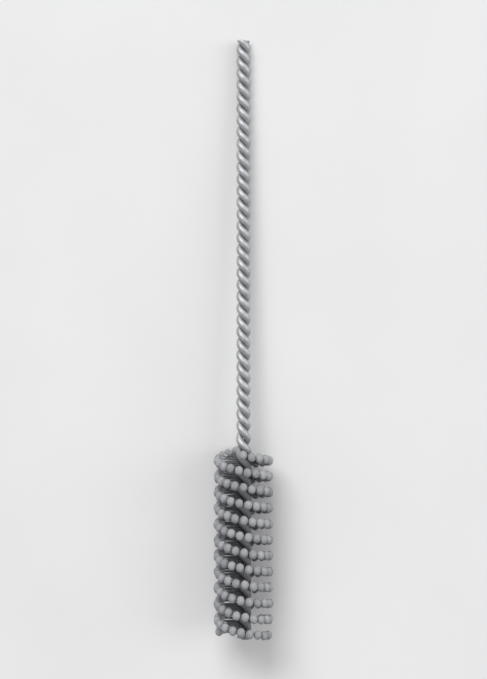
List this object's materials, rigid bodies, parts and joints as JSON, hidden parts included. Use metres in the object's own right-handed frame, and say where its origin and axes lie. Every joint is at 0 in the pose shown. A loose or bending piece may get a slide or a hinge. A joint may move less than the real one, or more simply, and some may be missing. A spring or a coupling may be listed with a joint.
{
  "type": "cylinder hone",
  "caption": "Flexible bead-type cylinder hone: a twisted two-wire stem whose brush end grips crossing filaments with an abrasive globule on each tip.",
  "frame": {"origin": "on the tool axis, in the plane of the square-cut free end of the shank", "axes": "+Y along the tool axis and out of the shank's free end, so the brush is towards -Y; +Z points along the first filament, the one nearest the shank"},
  "size_m": [0.0206, 0.2032, 0.0206],
  "materials": {
    "stem_steel": "galvanised drawn wire, satin",
    "nylon": "dark grey nylon, satin",
    "abrasive": "grey moulded abrasive grit, rough"
  },
  "bodies": {
    "root": {"filament_row_01": "nylon", "filament_row_02": "nylon", "filament_row_03": "nylon", "filament_row_04": "nylon", "filament_row_05": "nylon", "filament_row_06": "nylon", "filament_row_07": "nylon", "filament_row_08": "nylon", "filament_row_09": "nylon", "filament_row_10": "nylon", "filament_row_11": "nylon", "filament_row_12": "nylon", "globule_row_a_01": "abrasive", "globule_row_a_02": "abrasive", "globule_row_a_03": "abrasive", "globule_row_a_04": "abrasive", "globule_row_a_05": "abrasive", "globule_row_a_06": "abrasive", "globule_row_a_07": "abrasive", "globule_row_a_08": "abrasive", "globule_row_a_09": "abrasive", "globule_row_a_10": "abrasive", "globule_row_a_11": "abrasive", "globule_row_a_12": "abrasive", "globule_row_b_01": "abrasive", "globule_row_b_02": "abrasive", "globule_row_b_03": "abrasive", "globule_row_b_04": "abrasive", "globule_row_b_05": "abrasive", "globule_row_b_06": "abrasive", "globule_row_b_07": "abrasive", "globule_row_b_08": "abrasive", "globule_row_b_09": "abrasive", "globule_row_b_10": "abrasive", "globule_row_b_11": "abrasive", "globule_row_b_12": "abrasive", "stem_wire_a": "stem_steel", "stem_wire_b": "stem_steel"}
  },
  "joints": []
}
